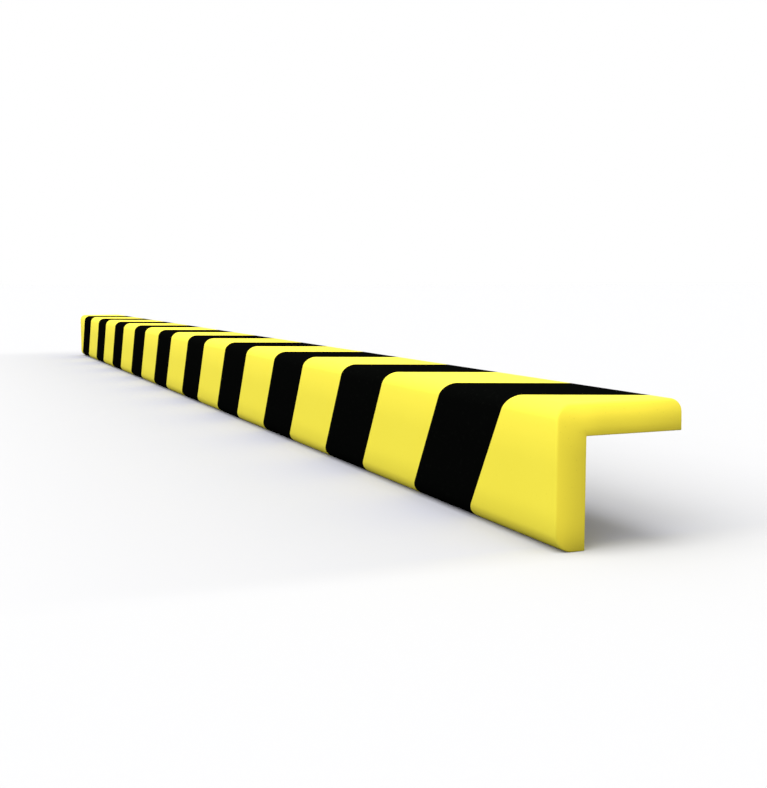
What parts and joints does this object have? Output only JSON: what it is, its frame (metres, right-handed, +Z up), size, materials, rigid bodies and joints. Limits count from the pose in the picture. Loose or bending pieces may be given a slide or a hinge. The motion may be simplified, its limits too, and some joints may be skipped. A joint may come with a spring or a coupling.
{
  "type": "impact protection strip",
  "caption": "L-shaped soft foam edge guard with slanted black and yellow warning bands, stuck over a square edge to soften knocks and mark it.",
  "frame": {"origin": "at mid-length on the line where the two flat inner faces meet", "axes": "+X along the strip, +Y out of the front leg's inner face and along the top leg, +Z up out of the top leg, with the front leg hanging down"},
  "size_m": [1, 0.045, 0.045],
  "materials": {
    "yellow_foam": "soft moulded foam with a fine matte skin, signal yellow",
    "black_print": "flexible black print, satin"
  },
  "bodies": {
    "root": {"foam_profile": "yellow_foam", "black_stripes": "black_print"}
  },
  "joints": []
}
